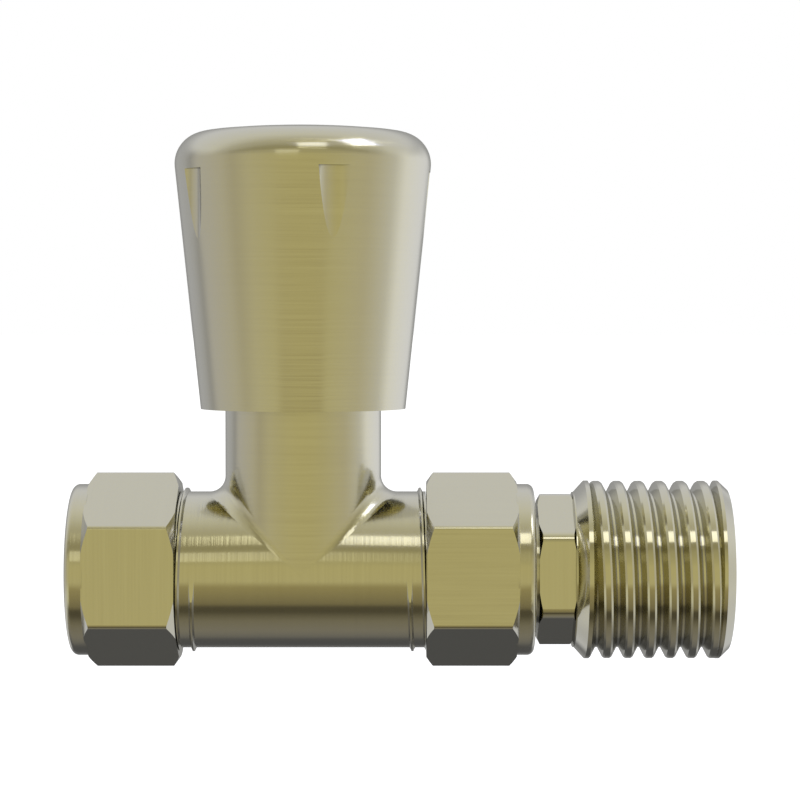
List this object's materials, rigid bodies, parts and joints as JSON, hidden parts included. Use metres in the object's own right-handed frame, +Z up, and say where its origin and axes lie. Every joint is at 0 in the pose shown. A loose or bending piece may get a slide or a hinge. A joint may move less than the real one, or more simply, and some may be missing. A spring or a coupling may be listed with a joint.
{
  "type": "manual radiator valve",
  "caption": "Straight manual radiator valve in brushed brass: compression inlet for a small pipe, fluted handwheel on a domed head, union nut and threaded radiator tail.",
  "frame": {"origin": "centre of the pipe stop, where the pipe's end comes to rest in the casting, on the water way's axis", "axes": "+X along the water way from the pipe to the radiator, +Z up the spindle towards the handwheel, +Y to the rear"},
  "size_m": [0.077, 0.03, 0.0635],
  "materials": {
    "brushed_brass": "lathe-brushed, clear satin",
    "machined_brass": "fine turned",
    "spring_steel": "oiled",
    "seal_rubber": "matte black",
    "seal_fibre": "pressed fibre",
    "thrust_plastic": "matte white",
    "hub_plastic": "moulded, fine grain"
  },
  "bodies": {
    "body": {"valve_body": "brushed_brass", "bonnet": "machined_brass", "bonnet_seal": "seal_fibre", "gland_nut": "machined_brass", "lower_thrust_washer": "thrust_plastic", "upper_thrust_washer": "thrust_plastic"},
    "wheel": {"spindle": "machined_brass", "lower_o_ring": "seal_rubber", "upper_o_ring": "seal_rubber", "handwheel": "brushed_brass", "handwheel_hub": "hub_plastic", "hub_clip": "spring_steel"},
    "disc": {"disc_carrier": "machined_brass", "disc_washer": "seal_rubber", "washer_plate": "machined_brass", "washer_screw": "machined_brass"},
    "tail": {"radiator_tail": "brushed_brass", "union_seal": "seal_fibre", "union_snap_ring": "spring_steel"},
    "union": {"union_nut": "brushed_brass"},
    "olive": {"inlet_olive": "machined_brass"},
    "inlet": {"inlet_nut": "brushed_brass"}
  },
  "joints": [
    {"name": "wheel_turn", "type": "hinge", "parent": "body", "child": "wheel", "pos_m": [0.0125, 0, 0.03], "axis": [0, 0, 1], "range_deg": [0, 1080]},
    {"name": "disc_lift", "type": "slide", "parent": "body", "child": "disc", "axis": [0, 0, 1], "range_m": [0, 0.003]},
    {"name": "tail_draw", "type": "slide", "parent": "body", "child": "tail", "axis": [1, 0, 0], "range_m": [0, 0.00602]},
    {"name": "union_nut_turn", "type": "hinge", "parent": "tail", "child": "union", "pos_m": [0.033, 0, 0], "axis": [1, 0, 0], "range_deg": [0, 1620]},
    {"name": "olive_draw", "type": "slide", "parent": "body", "child": "olive", "axis": [-1, 0, 0], "range_m": [0, 0.00668]},
    {"name": "inlet_nut_turn", "type": "hinge", "parent": "olive", "child": "inlet", "pos_m": [-0.008, 0, 0], "axis": [-1, 0, 0], "range_deg": [0, 1800]}
  ],
  "couplings": [
    {"joint": "disc_lift", "follows": "wheel_turn", "m_per_rad": 0.00015915},
    {"joint": "union_nut_turn", "follows": "tail_draw", "rad_per_m": 4699.5},
    {"joint": "inlet_nut_turn", "follows": "olive_draw", "rad_per_m": 4699.5}
  ]
}
